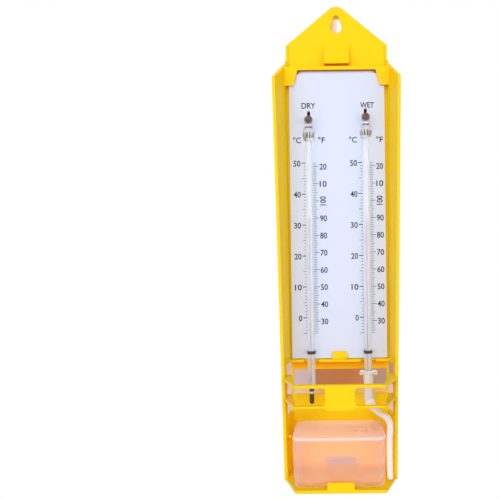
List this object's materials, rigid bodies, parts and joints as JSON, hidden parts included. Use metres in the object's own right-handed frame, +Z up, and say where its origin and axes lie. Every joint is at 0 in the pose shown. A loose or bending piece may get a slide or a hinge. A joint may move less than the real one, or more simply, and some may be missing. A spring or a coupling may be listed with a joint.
{
  "type": "wet and dry bulb hygrometer",
  "caption": "Wall-hung wet and dry bulb hygrometer: moulded yellow tray, printed scale plate, glass thermometers, cotton wick and lift-out water reservoir.",
  "frame": {"origin": "bearing point of the hanging hole, the top of its narrow end, on the back plane", "axes": "+X to the right seen from the front, -Y out of the front, +Z up"},
  "size_m": [0.0802, 0.05, 0.3022],
  "materials": {
    "yellow_moulding": "satin moulded ABS",
    "white_plate": "satin printed plate",
    "clear_glass": "clear drawn glass",
    "mercury": "liquid metal",
    "grey_metal": "dulled",
    "browned_brass": "browned",
    "dark_band": "matt",
    "clear_tub": "translucent polypropylene",
    "cotton": "woven cotton"
  },
  "bodies": {
    "case": {"case_shell": "yellow_moulding", "scale_plate": "white_plate", "dry_thermometer_glass": "clear_glass", "dry_mercury": "mercury", "dry_ring_washer": "grey_metal", "dry_ring_screw": "browned_brass", "dry_stem_band": "dark_band", "wet_thermometer_glass": "clear_glass", "wet_mercury": "mercury", "wet_ring_washer": "grey_metal", "wet_ring_screw": "browned_brass", "wet_stem_band": "dark_band", "wick_sleeve": "cotton", "wick_tie": "cotton", "wick_tail": "cotton"},
    "reservoir": {"reservoir_tub": "clear_tub"},
    "lid": {"reservoir_lid": "clear_tub"}
  },
  "joints": [
    {"name": "reservoir_lift", "type": "slide", "parent": "case", "child": "reservoir", "axis": [0, 0, 1], "range_m": [0, 0.0045]},
    {"name": "lid_lift", "type": "slide", "parent": "reservoir", "child": "lid", "axis": [0, 0, 1], "range_m": [0, 0.0012]}
  ]
}
